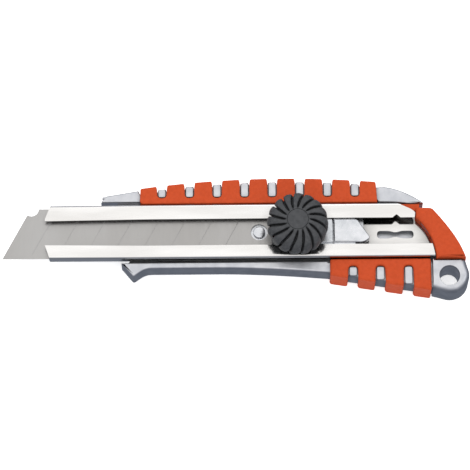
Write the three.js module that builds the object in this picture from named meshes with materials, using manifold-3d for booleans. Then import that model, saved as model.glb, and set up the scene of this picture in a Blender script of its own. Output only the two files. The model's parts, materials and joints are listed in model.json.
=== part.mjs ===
// An 18 mm snap-off utility knife: a folded steel sheath in a die-cast handle with rubber grips, a sliding
// blade carrier, a wheel that clamps it, and a pull-off end cap. +Z is up, and it lies on its back.
// Inside the assembly, x runs from the blade's tip to the tail, y = 0 is the blade's middle line and z = 0
// the surface that the knife lies on. The exported frame has its origin at the bottom centre of the box.
import * as THREE from "three";
import { mergeVertices } from "three/addons/utils/BufferGeometryUtils.js";
import Module from "manifold-3d";

const wasm = await Module();
wasm.setup();

// The pieces are drawn in units that make the blade 19.4 high, and leave at true size in millimetres.
const UNIT = 18 / 19.4; // millimetres to one unit of the drawing

// Driving dimensions, in units of the drawing
const GAP = 0.32; // between pieces that touch on the real knife
const CUT = 1; // how far a cutting shape runs past the faces that it opens

const BLADE_LENGTH = 100;
const BLADE_HALF = 9.7; // half of the blade's height
const BLADE_BACK = 10; // z of the blade's underside
const BLADE_THICK = 0.54;
const BLADE_HOLE = [95.3, 3.1]; // x and radius
const SEGMENT_PITCH = 10;
const SEGMENTS = 9;
const SNAP_NOTCH = [10.6, BLADE_HALF, 2.7]; // x, y and radius of the bite at the first segment's corner
const SNAP_NOTCH_END = -2.15; // angle at which the bite meets the slanted front edge
const SCORE_LEAN = 0.54; // x run of a score line for each mm of height
const SCORE_WIDTH = 0.3;
const SCORE_DEPTH = 0.12;
const GRIND_WIDTH = 1.4; // height of the ground edge
const EDGE_LAND = 0.02; // half of the edge's own thickness

const SHEATH_FRONT = 15.8;
const SHEATH_BACK = 8;
const SHEATH_FACE = 13;
const SHEATH_WALL = 0.5;
const SHEATH_HALF = 10.5;
const SHEATH_BEND = 1.3; // outer radius of the folds
const SHEATH_TAIL = 162;
const SHEATH_STEPS = 8; // lengthwise segments, so that the mouth can narrow
const SLOT_TOP = 4.6; // y of the upper rail's edge
const SLOT_BOTTOM = -5.6; // y of the lower rail's edge
const PINCH = 0.015; // share by which the mouth is narrower than the rest
const LIP_PINCH = 0.09; // the same for the slot between the rails
const LIP_REACH = 7; // half width of what narrows with the slot
const PINCH_LENGTH = 38;

const FRAME_BACK = 1.6;
const FRAME_FACE = 10.2;
const WEB_BACK = 5.2;
const WEB_FACE = SHEATH_BACK - GAP;
const SPINE_INNER = 12.25; // y of the spine's edge beside the sheath
const BAR_INNER = -11.35; // y of the lower bar's edge beside the sheath
const LUG_HOLE = [165.5, -17.55, 3.6]; // x, y and radius
const LUG_END = [165.9, -16.95, 7]; // x, y and radius of its round end
const LUG_FACE = 11.5;

const GRIP_FACE = 11.5;
const GRIP_SKIN = 0.95; // rubber over the casting's outer edge
const GRIP_CREST = [103.5, 20.8]; // highest point of the upper grip's outline
const GRIP_BOW = 770; // twice the radius of the upper grip's outline
const UPPER_GRIP = [51, 138.5];
const UPPER_GRIP_INNER = 11.1; // y of the edge beside the sheath
const UPPER_PITCH = 10.27;
const UPPER_SLOT_FIRST = 59.2;
const UPPER_SLOTS = 8;
const UPPER_SLOT_FLOOR = 13.45;
const LOWER_GRIP = [121.4, 158.75];
const LOWER_GRIP_INNER = -10.85;
const LOWER_SLOTS = [129.9, 140, 150.4];
const LOWER_SLOT_TOP = -13.45;
const SLOT_WIDTH = 3.6;

const WHEEL_X = 109.4;
const WHEEL_RADIUS = 11.3;
const WHEEL_TOP = 26.2;
const WHEEL_LOBES = 16;
const WHEEL_STEPS = 6; // segments from one groove to the next
const WHEEL_SWIRL = 0.3; // radians by which a groove leans from the flat to the rim
const STUD_RADIUS = 2.15;
const CARRIER_BACK = 8.95;
const CARRIER_FACE = 9.65;
const BLOCK_BACK = CARRIER_FACE + GAP;
const WING_FACE = 12;
const PAD_FACE = 12.85;
const PAD_SEAM = 122.75;
const PAD_RIVETS = [125.4, 130];
const SHEATH_RIVETS = [56, 118];
const WAIST = [145.9, -0.7]; // middle of the waisted slot

const CAP_BACK = 0.8;
const CAP_FACE = 13.3;
const CAP_BOTTOM = -11.05;
const CAP_TOP = 8.45;
const CAP_CLEARANCE = 0.35; // lengthwise, between the cap and the sheath
// The cap's edge beside the sheath, from top to bottom
const CAP_INNER = [
  [153.6, CAP_TOP],
  [153.4, 4.65],
  [155.7, 2.45],
  [157.6, -0.5],
  [159.2, -3.95],
  [160.4, -7.55],
  [160.8, CAP_BOTTOM],
];
// The cap's outer edge, from bottom to top
const CAP_OUTER = [
  [171.7, CAP_BOTTOM],
  [171.4, -9.75],
  [170, -6.55],
  [167.9, -2.85],
  [165.3, 1.1],
  [162.7, 4.45],
  [159.9, 7.9],
];

const LOOKS = {
  aluminium: { color: 0xb9bcc2, roughness: 0.4, metalness: 1 },
  stainless: { color: 0xe4e4e6, roughness: 0.15, metalness: 1 },
  blade: { color: 0xb3b0ae, roughness: 0.35, metalness: 1 },
  zinc: { color: 0xc9ccd2, roughness: 0.35, metalness: 1 },
  steel: { color: 0x8b8d92, roughness: 0.4, metalness: 1 },
  brass: { color: 0xb08d4a, roughness: 0.35, metalness: 1 },
  rubber: { color: 0xce4a2a, roughness: 0.65, metalness: 0 },
  plastic: { color: 0x3a3b3d, roughness: 0.55, metalness: 0 },
  insert: { color: 0xa8301c, roughness: 0.5, metalness: 0 },
};

// A closed geometry as a manifold-3d solid.
function solid(geometry) {
  const bare = geometry.clone();
  bare.deleteAttribute("normal");
  bare.deleteAttribute("uv");
  const merged = mergeVertices(bare, 1e-4);
  return new wasm.Manifold(
    new wasm.Mesh({
      numProp: 3,
      vertProperties: new Float32Array(merged.attributes.position.array),
      triVerts: new Uint32Array(merged.index.array),
    }),
  );
}

function geometryOf(body) {
  const mesh = body.getMesh();
  const geometry = new THREE.BufferGeometry();
  geometry.setAttribute("position", new THREE.BufferAttribute(new Float32Array(mesh.vertProperties), 3));
  geometry.setIndex(new THREE.BufferAttribute(new Uint32Array(mesh.triVerts), 1));
  const faceted = geometry.toNonIndexed().scale(UNIT, UNIT, UNIT);
  faceted.computeVertexNormals();
  return faceted;
}

function piece(name, body, look) {
  const mesh = new THREE.Mesh(geometryOf(body), new THREE.MeshStandardMaterial(LOOKS[look]));
  mesh.name = name;
  return mesh;
}

// A closed outline through [x, y, radius] corners; a corner with no radius stays sharp.
function outline(corners) {
  const shape = new THREE.Shape();
  corners.forEach(([x, y, radius = 0], i) => {
    const here = new THREE.Vector2(x, y);
    const before = new THREE.Vector2(...corners.at(i - 1));
    const after = new THREE.Vector2(...corners[(i + 1) % corners.length]);
    const start = here.clone().add(before.sub(here).setLength(radius));
    const end = here.clone().add(after.sub(here).setLength(radius));
    if (i === 0) shape.moveTo(start.x, start.y);
    else shape.lineTo(start.x, start.y);
    if (radius > 0) shape.quadraticCurveTo(x, y, end.x, end.y);
  });
  return shape;
}

// A shape drawn in x and y, as a plate from one height to another.
function plate(shape, low, high, curveSegments = 4) {
  const options = { depth: high - low, bevelEnabled: false, curveSegments };
  const geometry = new THREE.ExtrudeGeometry(shape, options);
  return solid(geometry.translate(0, 0, low));
}

// A section drawn in y and z, as a bar along x.
function barGeometry(shape, from, to, steps = 1) {
  const settings = { depth: to - from, bevelEnabled: false, curveSegments: 3, steps };
  const geometry = new THREE.ExtrudeGeometry(shape, settings);
  const turn = new THREE.Matrix4().makeBasis(
    new THREE.Vector3(0, 1, 0),
    new THREE.Vector3(0, 0, 1),
    new THREE.Vector3(1, 0, 0),
  );
  return geometry.applyMatrix4(turn).translate(from, 0, 0);
}

function box(x0, x1, y0, y1, z0, z1) {
  const geometry = new THREE.BoxGeometry(x1 - x0, y1 - y0, z1 - z0);
  return solid(geometry.translate((x0 + x1) / 2, (y0 + y1) / 2, (z0 + z1) / 2));
}

function pegGeometry(radius, low, high, sides = 24) {
  const geometry = new THREE.CylinderGeometry(radius, radius, high - low, sides);
  return geometry.rotateX(Math.PI / 2).translate(0, 0, (low + high) / 2);
}

function peg(x, y, radius, low, high, sides) {
  return solid(pegGeometry(radius, low, high, sides).translate(x, y, 0));
}

// A turned body about the z axis from its [radius, z] profile.
function turnedGeometry(profile, segments = 32) {
  const points = profile.map(([radius, z]) => new THREE.Vector2(radius, z));
  return new THREE.LatheGeometry(points, segments).rotateX(Math.PI / 2);
}

function turned(x, profile, segments) {
  return solid(turnedGeometry(profile, segments).translate(x, 0, 0));
}

function ring(x, inner, outer, low, high, segments) {
  const profile = [
    [inner, low],
    [outer, low],
    [outer, high],
    [inner, high],
    [inner, low],
  ];
  return turned(x, profile, segments);
}

const crestAt = (x) => GRIP_CREST[1] - (x - GRIP_CREST[0]) ** 2 / GRIP_BOW;
// The control point's y of the curve that follows the crest between two x.
const crestPull = (x0, x1) => GRIP_CREST[1] - ((x0 - GRIP_CREST[0]) * (x1 - GRIP_CREST[0])) / GRIP_BOW;
const lowerGripEdge = (x) => -17.75 - (x - 124.7) * 0.1585;

// The casting's parts seen from the front: spine, lower bar and web.
function spineShape() {
  const [start, end] = UPPER_GRIP;
  const shape = new THREE.Shape();
  shape.moveTo(37.4, SPINE_INNER);
  shape.lineTo(UPPER_GRIP[1] + 1, SPINE_INNER);
  shape.lineTo(UPPER_GRIP[1] + 1.2, 11.65);
  shape.lineTo(146, 11.45);
  shape.lineTo(150.7, 10.95);
  shape.lineTo(156.5, 10.95);
  shape.lineTo(156.3, 11.5);
  shape.quadraticCurveTo(148.6, 16.9, 141.7, 17.65);
  shape.lineTo(end + 1, 17.5);
  shape.lineTo(end, crestAt(end) - GRIP_SKIN);
  const pull = crestPull(start, end) - GRIP_SKIN;
  shape.quadraticCurveTo((start + end) / 2, pull, start, crestAt(start) - GRIP_SKIN);
  shape.lineTo(start - 0.3, 16.2);
  shape.lineTo(start - 0.7, 16.9);
  shape.lineTo(37.8, 14.75);
  shape.quadraticCurveTo(36.4, 14.2, 36.7, 13.2);
  shape.closePath();
  return shape;
}

function barShape() {
  return outline([
    [44, BAR_INNER],
    [48.5, -16.9, 0.8],
    [53, -13.65, 2],
    [86, -13.65, 8],
    [104, -14.45, 8],
    [LOWER_GRIP[0] - 0.7, -15.8],
    [LOWER_GRIP[0] + 2, lowerGripEdge(LOWER_GRIP[0] + 2) + 1.2],
    [160, lowerGripEdge(160) + 1.2],
    [160, -11.8],
    [LOWER_GRIP[0] - 0.6, -11.8],
    [LOWER_GRIP[0] - 0.6, BAR_INNER],
  ]);
}

function webShape() {
  return outline([
    [42, SPINE_INNER + 0.5],
    [54, 0, 9],
    [46, BAR_INNER - 0.5],
    [159.5, -12],
    [159.9, -9],
    [156.2, -0.5],
    [152.4, 5],
    [150, SPINE_INNER],
  ]);
}

function lugShape() {
  const shape = new THREE.Shape();
  shape.moveTo(159.2, CAP_BOTTOM - GAP);
  shape.lineTo(159.2, -22.35);
  shape.absarc(...LUG_END, -Math.PI * 0.58, Math.PI * 0.12, false);
  shape.lineTo(171.6, CAP_BOTTOM - GAP);
  shape.closePath();
  return shape;
}

function frameCasting() {
  return plate(spineShape(), FRAME_BACK, FRAME_FACE, 12)
    .add(plate(barShape(), FRAME_BACK, FRAME_FACE))
    .add(plate(webShape(), WEB_BACK, WEB_FACE))
    .add(plate(lugShape(), 0, LUG_FACE, 14))
    .subtract(peg(LUG_HOLE[0], LUG_HOLE[1], LUG_HOLE[2], -CUT, LUG_FACE + CUT, 24))
    .subtract(peg(SHEATH_RIVETS[0], 0, 2.1, 0, LUG_FACE, 16))
    .subtract(peg(SHEATH_RIVETS[1], 0, 2.1, 0, LUG_FACE, 16));
}

// The room that the casting and its gap take out of the rubber that is moulded round it.
function upperGripRoom() {
  const [start, end] = [UPPER_GRIP[0] - CUT, UPPER_GRIP[1] + CUT];
  const lift = GAP - GRIP_SKIN;
  const shape = new THREE.Shape();
  shape.moveTo(start, SPINE_INNER - GAP);
  shape.lineTo(end, SPINE_INNER - GAP);
  shape.lineTo(end, crestAt(end) + lift);
  shape.quadraticCurveTo((start + end) / 2, crestPull(start, end) + lift, start, crestAt(start) + lift);
  shape.closePath();
  return plate(shape, FRAME_BACK - GAP, FRAME_FACE + GAP, 12);
}

function upperGripShape() {
  const [start, end] = UPPER_GRIP;
  const shape = new THREE.Shape();
  shape.moveTo(start + 0.8, UPPER_GRIP_INNER);
  shape.lineTo(end + 0.9, UPPER_GRIP_INNER);
  shape.lineTo(end + 0.9, 17.4);
  shape.lineTo(end, 17.7);
  shape.lineTo(end, crestAt(end) - 0.4);
  shape.lineTo(end - 0.4, crestAt(end));
  shape.quadraticCurveTo((start + end) / 2, crestPull(start, end), start + 0.5, crestAt(start));
  shape.lineTo(start, crestAt(start) - 0.6);
  shape.lineTo(start, UPPER_GRIP_INNER + 0.8);
  shape.closePath();
  return shape;
}

function upperGrip() {
  let grip = plate(upperGripShape(), 0, GRIP_FACE, 12)
    .subtract(upperGripRoom())
    .subtract(box(UPPER_GRIP[0] - CUT, UPPER_GRIP[1] + 2, 0, SPINE_INNER - GAP, -CUT, WEB_FACE + GAP));
  for (let i = 0; i < UPPER_SLOTS; i++) {
    const x = UPPER_SLOT_FIRST + i * UPPER_PITCH;
    const half = SLOT_WIDTH / 2;
    const slot = outline([
      [x - half, UPPER_SLOT_FLOOR, 1.7],
      [x + half, UPPER_SLOT_FLOOR, 1.7],
      [x + half, 16],
      [x + half + 0.5, 22],
      [x - half - 0.5, 22],
      [x - half, 16],
    ]);
    grip = grip.subtract(plate(slot, -CUT, GRIP_FACE + CUT, 3));
  }
  return grip;
}

function lowerGripShape() {
  const [start, end] = LOWER_GRIP;
  return outline([
    [start, LOWER_GRIP_INNER, 0.4],
    [start, lowerGripEdge(start), 0.7],
    [end, lowerGripEdge(end), 0.7],
    [end, LOWER_GRIP_INNER, 0.4],
  ]);
}

function lowerGrip() {
  const [start, end] = LOWER_GRIP;
  const room = outline([
    [start - 2, -11.5],
    [start - 2, lowerGripEdge(start - 2) + 0.9],
    [end + 2, lowerGripEdge(end + 2) + 0.9],
    [end + 2, -11.5],
  ]);
  let grip = plate(lowerGripShape(), 0, GRIP_FACE)
    .subtract(plate(room, FRAME_BACK - GAP, FRAME_FACE + GAP))
    .subtract(box(start - CUT, end + CUT, -11.5, -9, -CUT, WEB_FACE + GAP));
  for (const x of LOWER_SLOTS) {
    const half = SLOT_WIDTH / 2;
    const slot = outline([
      [x + half, LOWER_SLOT_TOP, 1.7],
      [x - half, LOWER_SLOT_TOP, 1.7],
      [x - half, -26],
      [x + half, -26],
    ]);
    grip = grip.subtract(plate(slot, -CUT, GRIP_FACE + CUT, 3));
  }
  return grip;
}

// The folded channel, narrower at its mouth.
function sheathChannel() {
  const [low, high] = [SHEATH_BACK, SHEATH_FACE];
  const [inLow, inHigh] = [low + SHEATH_WALL, high - SHEATH_WALL];
  const inHalf = SHEATH_HALF - SHEATH_WALL;
  const inBend = SHEATH_BEND - SHEATH_WALL;
  const section = outline([
    [SLOT_TOP, high],
    [SLOT_TOP, inHigh],
    [inHalf, inHigh, inBend],
    [inHalf, inLow, inBend],
    [-inHalf, inLow, inBend],
    [-inHalf, inHigh, inBend],
    [SLOT_BOTTOM, inHigh],
    [SLOT_BOTTOM, high],
    [-SHEATH_HALF, high, SHEATH_BEND],
    [-SHEATH_HALF, low, SHEATH_BEND],
    [SHEATH_HALF, low, SHEATH_BEND],
    [SHEATH_HALF, high, SHEATH_BEND],
  ]);
  const geometry = barGeometry(section, SHEATH_FRONT, SHEATH_TAIL, SHEATH_STEPS);
  const place = geometry.attributes.position;
  for (let i = 0; i < place.count; i++) {
    const along = (place.getX(i) - SHEATH_FRONT) / PINCH_LENGTH;
    const pinch = Math.abs(place.getY(i)) < LIP_REACH ? LIP_PINCH : PINCH;
    const narrow = 1 - pinch * Math.max(0, 1 - along);
    place.setY(i, place.getY(i) * narrow);
  }
  return solid(geometry);
}

// What is cut away behind the sheath, along the end cap's inner edge.
function sheathTail() {
  const behind = CAP_INNER.slice(1).map(([x, y]) => [x - CAP_CLEARANCE, y]);
  const aside = SHEATH_HALF + 2 * CUT;
  return outline([
    [146, SHEATH_HALF, 1.5],
    [152, 7.7, 1],
    [153.2, 6.6, 0.6],
    ...behind,
    [SHEATH_TAIL + CUT, CAP_BOTTOM],
    [SHEATH_TAIL + CUT, aside],
    [146, aside],
  ]);
}

// What is cut off the front end of the upper or the lower rail: side is 1 or -1.
function railFront(side) {
  const corners = [
    [10, side * 3.6],
    [15.5, side * 4.2, 0.8],
    [17.9, side * SHEATH_HALF],
    [17.9, side * (SHEATH_HALF + CUT)],
    [10, side * (SHEATH_HALF + CUT)],
  ];
  return outline(side > 0 ? corners : corners.reverse());
}

// The V in the upper rail's edge where the slider's spring stop can be lifted out.
function railNotch() {
  return outline([
    [144.6, SLOT_TOP - 0.5],
    [148, SLOT_TOP - 0.5],
    [147.8, SLOT_TOP],
    [146.3, SLOT_TOP + 1.3],
    [144.8, SLOT_TOP],
  ]);
}

// The slot in the floor, narrower in its middle.
function waistedSlot() {
  const [x, y] = WAIST;
  const half = 6.8;
  const corner = 2.4;
  const [wide, narrow] = [1.5, 0.8];
  return outline([
    [x - half, y - wide, 1.4],
    [x - corner, y - wide, 1],
    [x, y - narrow, 1],
    [x + corner, y - wide, 1],
    [x + half, y - wide, 1.4],
    [x + half, y + wide, 1.4],
    [x + corner, y + wide, 1],
    [x, y + narrow, 1],
    [x - corner, y + wide, 1],
    [x - half, y + wide, 1.4],
  ]);
}

function bladeSheath() {
  const below = SHEATH_BACK - CUT;
  const above = SHEATH_FACE + CUT;
  let sheath = sheathChannel()
    .subtract(plate(sheathTail(), below, above))
    .subtract(plate(railFront(1), below, above))
    .subtract(plate(railFront(-1), below, above))
    .subtract(box(10, 17.2, -5.2, 4.3, below, SHEATH_BACK + 2))
    .subtract(plate(railNotch(), SHEATH_FACE - CUT, above))
    .subtract(plate(waistedSlot(), below, SHEATH_BACK + CUT));
  for (const x of SHEATH_RIVETS) {
    const sink = [
      [0, below],
      [2.1, below],
      [2.1, SHEATH_BACK],
      [2.95, SHEATH_BACK + SHEATH_WALL],
      [2.95, SHEATH_BACK + 1.2],
      [0, SHEATH_BACK + 1.2],
    ];
    sheath = sheath.subtract(turned(x, sink, 16));
  }
  return sheath;
}

// Countersunk in the sheath's floor, with its formed head in the recess at the back.
function sheathRivet(x) {
  const head = WEB_BACK - GAP;
  return turned(
    x,
    [
      [0, head - 1.2],
      [3, head - 1.2],
      [3.4, head - 0.8],
      [3.4, head],
      [1.8, head],
      [1.8, SHEATH_BACK],
      [2.5, SHEATH_BACK + SHEATH_WALL - 0.1],
      [0, SHEATH_BACK + SHEATH_WALL - 0.1],
    ],
    16,
  );
}

function bladeShape() {
  const shape = new THREE.Shape();
  shape.moveTo(0, -BLADE_HALF);
  shape.lineTo(BLADE_LENGTH, -BLADE_HALF);
  shape.lineTo(BLADE_LENGTH, BLADE_HALF);
  shape.absarc(...SNAP_NOTCH, 0, SNAP_NOTCH_END, true);
  shape.closePath();
  const hole = new THREE.Path();
  hole.absarc(BLADE_HOLE[0], 0, BLADE_HOLE[1], 0, Math.PI * 2, true);
  shape.holes.push(hole);
  return shape;
}

// The blade, ground to an edge below and scored into segments.
function snapOffBlade() {
  const top = BLADE_BACK + BLADE_THICK;
  const middle = BLADE_BACK + BLADE_THICK / 2;
  const edge = BLADE_HALF + 0.2;
  const grind = BLADE_HALF - GRIND_WIDTH;
  const above = outline([
    [-edge, middle + EDGE_LAND],
    [-grind, top],
    [-grind, top + CUT],
    [-edge, top + CUT],
  ]);
  const below = outline([
    [-edge, middle - EDGE_LAND],
    [-edge, BLADE_BACK - CUT],
    [-grind, BLADE_BACK - CUT],
    [-grind, BLADE_BACK],
  ]);
  let blade = plate(bladeShape(), BLADE_BACK, top, 6)
    .subtract(solid(barGeometry(above, -CUT, BLADE_LENGTH + CUT)))
    .subtract(solid(barGeometry(below, -CUT, BLADE_LENGTH + CUT)));
  const lean = SCORE_LEAN * 2 * BLADE_HALF;
  for (let i = 1; i < SEGMENTS; i++) {
    const x = i * SEGMENT_PITCH;
    const score = outline([
      [x, -BLADE_HALF],
      [x + SCORE_WIDTH, -BLADE_HALF],
      [x + SCORE_WIDTH + lean, BLADE_HALF],
      [x + lean, BLADE_HALF],
    ]);
    blade = blade.subtract(plate(score, top - SCORE_DEPTH, top + CUT));
  }
  return blade;
}

function bladeCarrier() {
  const shape = outline([
    [88, -4, 2],
    [100.6, -4, 0.5],
    [102.4, -8.8, 0.5],
    [134, -8.8, 1.5],
    [134, 5.6, 1],
    [128, 8.8, 1],
    [102.4, 8.8, 0.5],
    [100.6, 4, 0.5],
    [88, 4, 2],
  ]);
  let carrier = plate(shape, CARRIER_BACK, CARRIER_FACE)
    .subtract(peg(BLADE_HOLE[0], 0, 1.7, 0, WHEEL_TOP, 16))
    .subtract(peg(WHEEL_X, 0, 3.3, 0, WHEEL_TOP));
  for (const x of PAD_RIVETS) carrier = carrier.subtract(peg(x, 0, 1.5, 0, WHEEL_TOP, 16));
  return carrier;
}

function bladePin() {
  return turned(
    BLADE_HOLE[0],
    [
      [0, CARRIER_BACK],
      [1.4, CARRIER_BACK],
      [1.4, BLOCK_BACK],
      [2.2, BLOCK_BACK],
      [2.2, 10.75],
      [1.9, 11],
      [0, 11],
    ],
    24,
  );
}

// The front block of the slider: wings under the rails and a guide in the slot.
function carrierBlock() {
  const end = PAD_SEAM - 0.3;
  return box(101, end, -8.8, 8.8, BLOCK_BACK, WING_FACE)
    .add(box(101, end, -4.8, 4.1, WING_FACE - CUT, PAD_FACE - 0.15))
    .subtract(peg(WHEEL_X, 0, STUD_RADIUS + GAP, 0, WHEEL_TOP));
}

function sliderPad() {
  const wings = outline([
    [PAD_SEAM + 0.1, -8.8],
    [131, -8.8, 1],
    [131, 8.8, 1],
    [PAD_SEAM + 0.1, 8.8],
  ]);
  const pad = outline([
    [PAD_SEAM + 0.1, -4.8],
    [134.2, -4.8, 1.2],
    [136.5, -3.1, 0.8],
    [131.7, 4.1, 0.5],
    [PAD_SEAM + 0.1, 4.1],
  ]);
  let block = plate(wings, BLOCK_BACK, WING_FACE).add(plate(pad, BLOCK_BACK, PAD_FACE));
  for (const x of PAD_RIVETS) block = block.subtract(peg(x, 0, 1.5, 0, 11.9, 16));
  return block;
}

// A rivet from the carrier plate up into a blind hole of the pad.
const padRivet = (x) => peg(x, 0, 1.2, CARRIER_BACK, 11.6, 16);

function lockStud() {
  return turned(WHEEL_X, [
    [0, CARRIER_BACK],
    [3, CARRIER_BACK],
    [3, CARRIER_FACE],
    [STUD_RADIUS, CARRIER_FACE],
    [STUD_RADIUS, 22.6],
    [STUD_RADIUS - 0.4, 23],
    [0, 23],
  ]);
}

function studClip() {
  return ring(WHEEL_X, STUD_RADIUS + GAP, 3.4, 21.2, 22, 24);
}

const clampWasher = () => ring(0, STUD_RADIUS + GAP, 8.3, SHEATH_FACE + GAP, 14.3);

function springWasher() {
  return turned(0, [
    [2.4, 14.9],
    [6.4, 14.6],
    [6.4, 15],
    [2.4, 15.3],
    [2.4, 14.9],
  ]);
}

const wheelNut = () => peg(0, 0, 3.6, 15.9, 20.1, 6).subtract(peg(0, 0, STUD_RADIUS + GAP, 15, 21));

// The wheel's turned profile; the stretch from the boss's shoulder to the flat carries the grooves.
const WHEEL_PROFILE = [
  [3.9, 15.6],
  [6.6, 15.6],
  [6.6, 17],
  [10.1, 17],
  [WHEEL_RADIUS - 0.2, 17.7],
  [WHEEL_RADIUS, 19.5],
  [WHEEL_RADIUS, 21.6],
  [10.7, 23.1],
  [9.6, 24.4],
  [7.9, 25.5],
  [5.9, 26.1],
  [4.2, WHEEL_TOP],
  [4.2, 25],
  [3.7, 25],
  [3.7, 20.4],
  [3.9, 20.4],
  [3.9, 15.6],
];
const GROOVED = [3, 10]; // first and last grooved point of the profile
const GROOVE = [0.95, 0.45, 0.05, 0, 0.05, 0.45]; // depth at each segment from one groove to the next

function lockWheel() {
  const segments = WHEEL_LOBES * WHEEL_STEPS;
  const geometry = turnedGeometry(WHEEL_PROFILE, segments);
  const place = geometry.attributes.position;
  for (let i = 0; i < place.count; i++) {
    const point = i % WHEEL_PROFILE.length;
    if (point < GROOVED[0] || point > GROOVED[1]) continue;
    const column = Math.floor(i / WHEEL_PROFILE.length) % WHEEL_STEPS;
    const share = (GROOVED[1] - point) / (GROOVED[1] - GROOVED[0]);
    const fade = Math.min(1, 0.3 + 1.4 * share);
    const radius = Math.hypot(place.getX(i), place.getY(i)) - GROOVE[column] * fade;
    const angle = Math.atan2(place.getY(i), place.getX(i)) - WHEEL_SWIRL * share;
    place.setX(i, radius * Math.cos(angle));
    place.setY(i, radius * Math.sin(angle));
  }
  return solid(geometry);
}

const wheelCap = () => peg(0, 0, 3.9, 25.3, WHEEL_TOP, 32);

// The cap's plug in the sheath and its body, which the rubber is moulded round.
// A grown one is the hollow in the rubber.
function capInsert(grown) {
  const plug = outline([
    [154.4 - grown, 4.2 + grown],
    [158.6 - grown, -1.8],
    [161 - grown, -8.6 - grown],
    [163.6 + grown, -8.6 - grown],
    [160.4 + grown, 4.2 + grown],
  ]);
  const body = outline([
    [158.6 - grown, 5 + grown],
    [161.6 - grown, -2],
    [163.4 - grown, -9.4 - grown],
    [168.8 + grown, -9.4 - grown],
    [166 + grown, -2.6],
    [161.4 + grown, 4.4 + grown],
  ]);
  return plate(plug, 9 - grown, 12 + grown).add(plate(body, 3 - grown, 11.4 + grown));
}

function endCapGrip() {
  const shape = outline([...CAP_INNER.slice(1), ...CAP_OUTER, [159, CAP_TOP, 0.8], CAP_INNER[0]]);
  const tongue = outline([
    [147.4, 10.3],
    [149.6, 9.5],
    [152.4, 8.2],
    [155, 7.8],
    [155, 10.7],
    [147.4, 10.7],
  ]);
  return plate(shape, CAP_BACK, CAP_FACE)
    .add(plate(tongue, WEB_FACE + GAP, FRAME_FACE - 0.2))
    .subtract(capInsert(GAP));
}

function group(...members) {
  return new THREE.Group().add(...members);
}

const handle = group(
  piece("frame_casting", frameCasting(), "aluminium"),
  piece("upper_grip", upperGrip(), "rubber"),
  piece("lower_grip", lowerGrip(), "rubber"),
  piece("blade_sheath", bladeSheath(), "stainless"),
  piece("sheath_rivet_front", sheathRivet(SHEATH_RIVETS[0]), "steel"),
  piece("sheath_rivet_rear", sheathRivet(SHEATH_RIVETS[1]), "steel"),
);

const slider = group(
  piece("snap_off_blade", snapOffBlade(), "blade"),
  piece("blade_carrier", bladeCarrier(), "zinc"),
  piece("blade_pin", bladePin(), "zinc"),
  piece("carrier_block", carrierBlock(), "zinc"),
  piece("slider_pad", sliderPad(), "zinc"),
  piece("pad_rivet_front", padRivet(PAD_RIVETS[0]), "steel"),
  piece("pad_rivet_rear", padRivet(PAD_RIVETS[1]), "steel"),
  piece("lock_stud", lockStud(), "steel"),
  piece("stud_clip", studClip(), "steel"),
);

const wheel = group(
  piece("clamp_washer", clampWasher(), "steel"),
  piece("spring_washer", springWasher(), "steel"),
  piece("lock_wheel", lockWheel(), "plastic"),
  piece("wheel_nut", wheelNut(), "brass"),
  piece("wheel_cap", wheelCap(), "plastic"),
);
wheel.position.x = WHEEL_X * UNIT;

const endCap = group(
  piece("end_cap_grip", endCapGrip(), "rubber"),
  piece("end_cap_core", capInsert(0), "insert"),
);

const assembly = group(handle, slider, wheel, endCap);
const extent = new THREE.Box3().setFromObject(assembly);
const centre = extent.getCenter(new THREE.Vector3());
assembly.position.set(-centre.x, -centre.y, -extent.min.z);

export default group(assembly);
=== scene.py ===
import json
import math

import bmesh
import bpy
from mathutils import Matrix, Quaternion, Vector
from mathutils.geometry import tessellate_polygon


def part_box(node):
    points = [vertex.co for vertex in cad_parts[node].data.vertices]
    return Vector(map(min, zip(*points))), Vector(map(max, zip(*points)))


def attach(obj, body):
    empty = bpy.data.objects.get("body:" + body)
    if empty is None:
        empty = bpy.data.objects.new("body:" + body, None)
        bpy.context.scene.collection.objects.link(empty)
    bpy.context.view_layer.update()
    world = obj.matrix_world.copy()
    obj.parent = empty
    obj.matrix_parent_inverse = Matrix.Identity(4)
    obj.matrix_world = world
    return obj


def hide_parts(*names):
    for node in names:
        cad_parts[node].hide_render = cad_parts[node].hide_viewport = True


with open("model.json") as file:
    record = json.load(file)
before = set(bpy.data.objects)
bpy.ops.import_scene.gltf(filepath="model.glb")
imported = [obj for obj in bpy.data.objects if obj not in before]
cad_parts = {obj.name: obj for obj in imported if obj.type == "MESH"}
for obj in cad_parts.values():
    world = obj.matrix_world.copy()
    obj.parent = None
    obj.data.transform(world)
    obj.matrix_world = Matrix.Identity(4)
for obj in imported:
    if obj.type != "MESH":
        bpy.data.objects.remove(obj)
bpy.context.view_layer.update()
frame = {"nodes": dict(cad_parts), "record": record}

# Every shape below is drawn in the knife's own axes: x from the blade's tip to the tail, y from the blade's
# middle line towards the upper grip, z up from the surface that the knife lies on. The unit of the drawing
# makes the blade 19.4 high.
BLADE_HEIGHT = 19.4
BLADE_LOW, BLADE_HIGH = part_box("snap_off_blade")
UNIT = (BLADE_HIGH[1] - BLADE_LOW[1]) / BLADE_HEIGHT  # in metres
TIP_X = BLADE_LOW[0]
MIDDLE_Y = (BLADE_LOW[1] + BLADE_HIGH[1]) / 2


def place(x, y, z):
    """A point of the knife's own axes as a point of the frame, in metres."""
    return Vector((x * UNIT + TIP_X, y * UNIT + MIDDLE_Y, z * UNIT))


def span(node):
    """x0, x1, y0, y1, z0, z1 of a CAD node, in units of the knife's own axes."""
    low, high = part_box(node)
    out = []
    for axis, base in enumerate((TIP_X, MIDDLE_Y, 0.0)):
        out += [(low[axis] - base) / UNIT, (high[axis] - base) / UNIT]
    return out


# ---------------------------------------------------------------- camera, floor and light

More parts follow.
